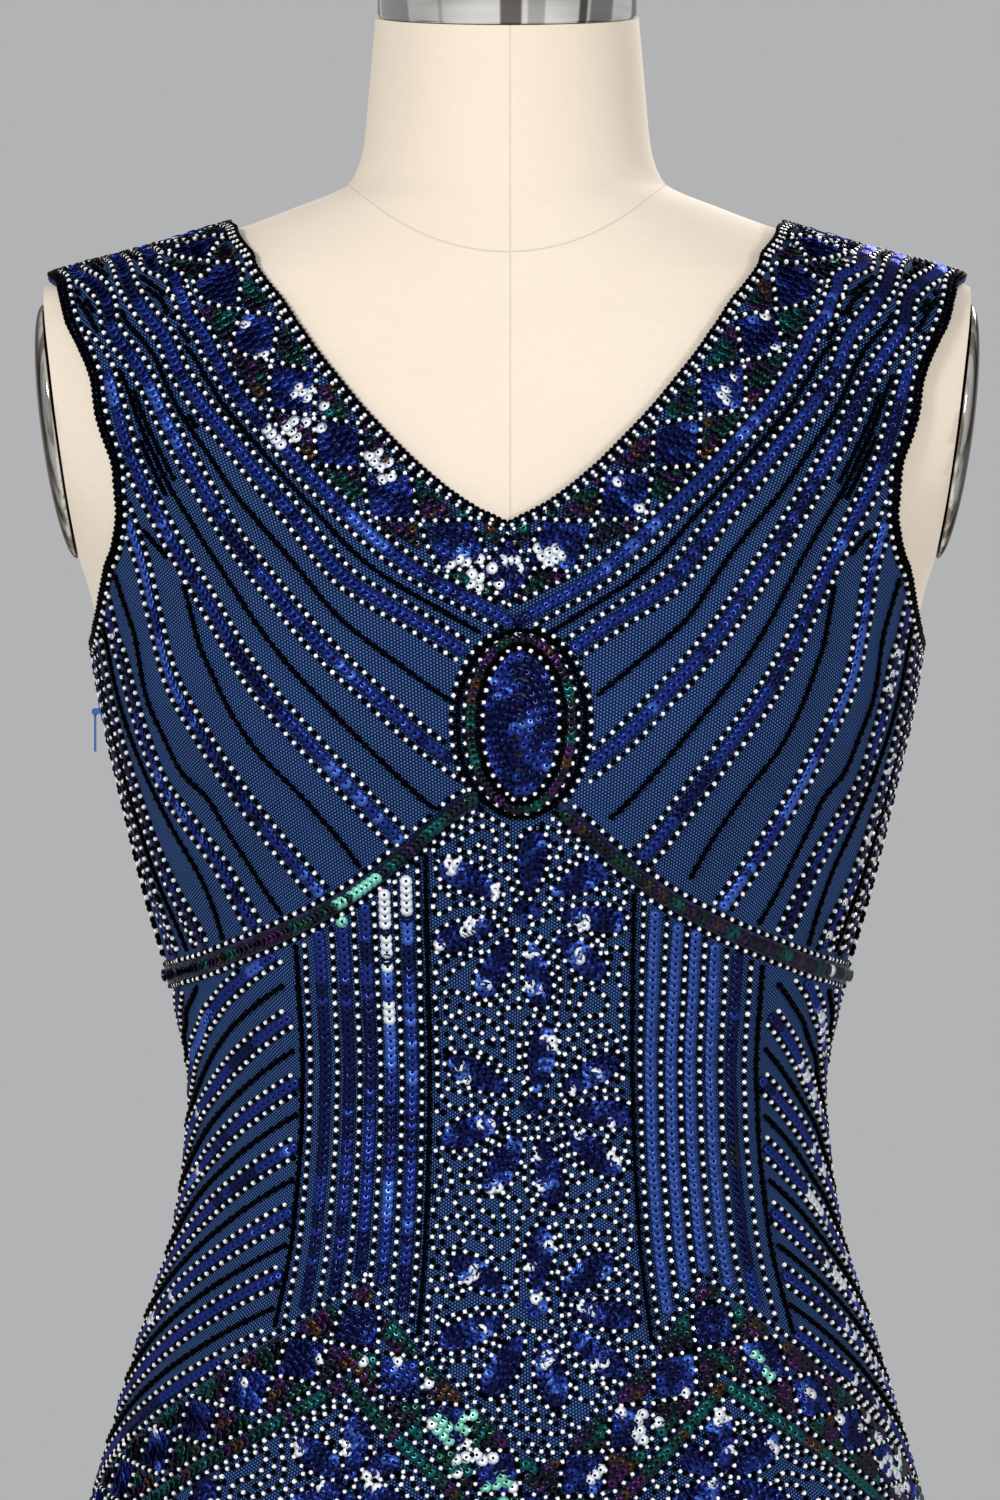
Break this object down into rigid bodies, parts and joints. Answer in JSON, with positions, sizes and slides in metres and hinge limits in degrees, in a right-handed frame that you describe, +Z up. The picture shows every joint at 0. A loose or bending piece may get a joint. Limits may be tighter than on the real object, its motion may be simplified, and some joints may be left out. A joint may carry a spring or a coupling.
{
  "type": "flapper dress on a dress form",
  "caption": "Sleeveless V-neck beaded sheath dress with an arched underbust seam and a side zip, worn by a limbless dress form on a pole and a round base.",
  "frame": {"origin": "middle of the base's underside, on the floor", "axes": "+Z up; the dress faces -Y; +X is the wearer's left, on the viewer's right"},
  "size_m": [0.4139, 0.344, 1.533],
  "materials": {
    "beaded_cloth": "royal blue net over a navy lining, covered in sequins and glass beads",
    "sequin_trim": "dense dark blue and iridescent sequins",
    "blue_enamel": "blue enamelled zip slider and pull",
    "form_cover": "ivory linen stretched smooth over a hard form",
    "chrome": "polished domed plate",
    "brushed_steel": "brushed steel",
    "stand_paint": "satin grey paint on a steel base"
  },
  "bodies": {
    "dress_and_form": {"bodice_front": "beaded_cloth", "bodice_back": "beaded_cloth", "skirt_front": "beaded_cloth", "skirt_back": "beaded_cloth", "underbust_band_left": "sequin_trim", "underbust_band_right": "sequin_trim", "underbust_band_back": "sequin_trim", "oval_motif": "sequin_trim", "zip_slider": "blue_enamel", "form_body": "form_cover", "arm_plate_left": "chrome", "arm_plate_right": "chrome", "neck_cap": "brushed_steel", "pole_flange": "brushed_steel", "pole": "brushed_steel", "base": "stand_paint"},
    "pull": {"zip_pull": "blue_enamel"}
  },
  "joints": [
    {"name": "zip_pull_hinge", "type": "hinge", "parent": "dress_and_form", "child": "pull", "pos_m": [-0.16845, -0.00696, 1.18569], "axis": [-0.068, 0.9977, 0], "range_deg": [-12, 150]}
  ]
}
